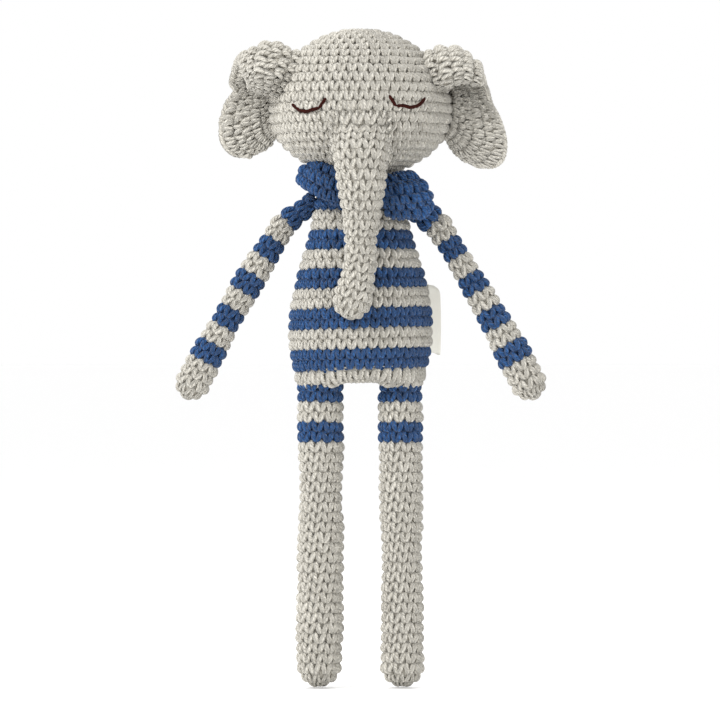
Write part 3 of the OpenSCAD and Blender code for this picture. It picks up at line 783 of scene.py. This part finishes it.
COLLAR_NET = {
    # lines from the neck down and outwards, from beside the trunk round to the shoulder
    LEFT: [
        [(9, -17, 245), (10, -21.5, 241), (11, -23.5, 236), (12, -22.5, 231.5)],
        [(14, -16.5, 248), (16, -21.5, 243), (17, -23.5, 236), (18, -22.5, 230)],
        [(19, -14, 249), (23, -18.5, 244), (25, -20.5, 237), (26, -19.5, 230.5)],
        [(23, -9, 248.5), (27.5, -12, 244.5), (30, -13.5, 238.5), (31, -13, 233.5)],
        [(24, -4, 247), (27.5, -5, 244.5), (29.5, -6, 241.5), (30.5, -6, 239)],
    ],
    RIGHT: [
        [(-8, -17, 248), (-9, -21.5, 245), (-10, -23.5, 240), (-10.5, -22.5, 236)],
        [(-13, -16.5, 251), (-15, -21.5, 247.5), (-16, -23.5, 242), (-16, -22, 238)],
        [(-17, -14, 253), (-20.5, -18.5, 250), (-22, -20, 245.5), (-21.5, -19.5, 241.5)],
        [(-20, -9, 253), (-24, -12, 251), (-26, -13.5, 248), (-26.5, -13, 245)],
        [(-21, -4, 252), (-24.5, -5, 251), (-27, -6, 249.5), (-27.5, -6, 247.5)],
    ],
}


def build_collar():
    for side in (LEFT, RIGHT):
        surf = Pillow(np.array(COLLAR_NET[side], float), 2.4, 3.5, 1.2, 1.2)
        cloth = work_pillow(surf, 7, fat=1.05)
        obj = cloth.piece(f"collar_{SIDE_NAME[side]}_lobe", BLUE, "yarn_blue")
        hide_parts("collar")
        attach(obj, "torso")
    # the band round the neck
    z = np.linspace(235.0, 241.0, 30)
    r = 19.6 - 0.6 * (z - 235)
    surf = stood((z - 235) / ROW * 1.6, np.stack([0 * z, 0 * z, z], -1), r + 2, r * 0.86)
    band = work(surf, range(0, 2))["one"].piece("collar_band", BLUE, "yarn_blue")
    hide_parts("collar")
    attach(band, "torso")


def build_neck():
    z = np.linspace(238.5, 253.6, 40)
    r = 11.0 - 2.6 * smooth((z - 244) / 8)
    surf = stood((z - 238.5) / ROW, np.stack([0 * z, 0 * z, z], -1), r, r)
    obj = work(surf, range(0, 3))["one"].piece("neck_crochet", BLUE, "yarn_blue")
    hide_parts("neck_cover", "neck_stuffing")
    reach(obj)


# ---------------------------------------------------------------- label and shoulder seams
def build_label():
    at = joint_at("label_flap")
    turn = math.radians(52)
    out = np.array([math.cos(turn), math.sin(turn), 0])
    aside = np.array([-out[1], out[0], 0])
    tall, t = 33.0, 0.28
    face = [(-2.5, 0.8), (2, 0.95), (5.6, 1.0), (7.4, 0.7)]
    path = face + [(7.9, 0)] + [(x, -y) for x, y in reversed(face)]
    line = resample(np.array(path), 33)
    d = unit(np.gradient(line, axis=0))
    n = np.stack([d[:, 1], -d[:, 0]], -1)
    rows = []
    heights = np.linspace(0, tall, 17)
    for h in heights:
        bulge = 0.6 * math.sin(math.pi * h / tall)
        section = np.vstack([line + t * n, (line - t * n)[::-1]])
        # the outer corners droop, as the tape is longer than the seam that holds it
        drop = np.interp(section[:, 0], (-2.5, 2.0, 5.5, 7.9), (0, 0.5, 2.0, 5.0)) * (0.3 + 0.7 * h / tall)
        rows.append([at + (q[0] + bulge) * out + q[1] * aside + [0, 0, h - d] for q, d in zip(section, drop)])
    cloth = Cloth()
    pts = np.array(rows)
    cloth.grid(pts, 0.0, np.zeros(pts.shape[:2] + (2,)))
    ends = [0, len(heights) - 1]
    for e in ends:
        a, b = pts[e, :33], pts[e, 33:][::-1]
        cap = np.stack([a, b], 1)
        cloth.grid(cap, 0.0, np.zeros(cap.shape[:2] + (2,)), closed=False)
    obj = cloth.piece("side_label_tape", TAPE, "label_tape")
    weld(obj)
    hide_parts("side_label")
    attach(obj, "label")


def build_seams():
    for side in (LEFT, RIGHT):
        name = SIDE_NAME[side]
        pivot = joint_at(f"arm_{name}_raise")
        cloth = Cloth()
        for i in range(10):
            a = 2 * math.pi * i / 10
            across = np.array([0, math.cos(a), math.sin(a)])
            p0 = pivot + [-side * 8.8, 0, 0] + 3.6 * across
            p1 = pivot + [-side * 7.0, 0, 0] + 4.9 * across
            p2 = pivot + [-side * 4.5, 0, 0] + 4.7 * across
            cloth.rope([p0, p1, p2], 0.9, [across, across, across], sides=6, n=7)
        obj = cloth.piece(f"shoulder_{name}_stitches", BLUE, "yarn_blue")
        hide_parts(f"shoulder_seam_{name}")
        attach(obj, f"shoulder_{name}")


# ---------------------------------------------------------------- setting
def build_setting():
    scene = bpy.context.scene
    floor_z = (TOE_Z - 0.2) / 1000
    bpy.ops.mesh.primitive_plane_add(size=400, location=(0, 0, floor_z))
    floor = bpy.context.object
    floor.name = "floor"
    mat = bpy.data.materials.new("floor")
    mat.use_nodes = True
    mat.node_tree.nodes["Principled BSDF"].inputs["Base Color"].default_value = (0.995, 0.995, 0.995, 1)
    mat.node_tree.nodes["Principled BSDF"].inputs["Roughness"].default_value = 0.9
    floor.data.materials.append(mat)
    world = bpy.data.worlds.new("studio")
    scene.world = world
    world.use_nodes = True
    world.node_tree.nodes["Background"].inputs[0].default_value = (1, 1, 1, 1)
    world.node_tree.nodes["Background"].inputs[1].default_value = 1.0
    for place, aim, size, power in (
        ((-1.1, -1.3, 1.3), (0, 0, 0.05), 0.8, 26),
        ((1.2, -1.3, 0.4), (0, 0, 0), 1.2, 4),
        ((0.3, 1.2, 1.2), (0, 0, 0), 1.0, 10),
    ):
        data = bpy.data.lights.new("softbox", "AREA")
        data.size = size
        data.energy = power
        lamp = bpy.data.objects.new("softbox", data)
        lamp.location = place
        lamp.rotation_euler = (Vector(aim) - Vector(place)).to_track_quat("-Z", "Y").to_euler()
        scene.collection.objects.link(lamp)
    view = bpy.data.cameras.new("camera")
    view.sensor_width = 36
    distance = 3.0
    view.lens = 36 * distance / 0.3517
    camera = bpy.data.objects.new("camera", view)
    camera.location = (-0.0003, -distance, -0.0118)
    camera.rotation_euler = (math.pi / 2, 0, 0)
    scene.collection.objects.link(camera)
    scene.camera = camera
    scene.view_settings.view_transform = "Standard"


build_head()
build_eyes()
build_trunk()
build_torso()
build_collar()
build_neck()
for doll_side in (LEFT, RIGHT):
    build_leg(doll_side)
    build_arm(doll_side)
    build_ear(doll_side)
build_label()
build_seams()
build_setting()
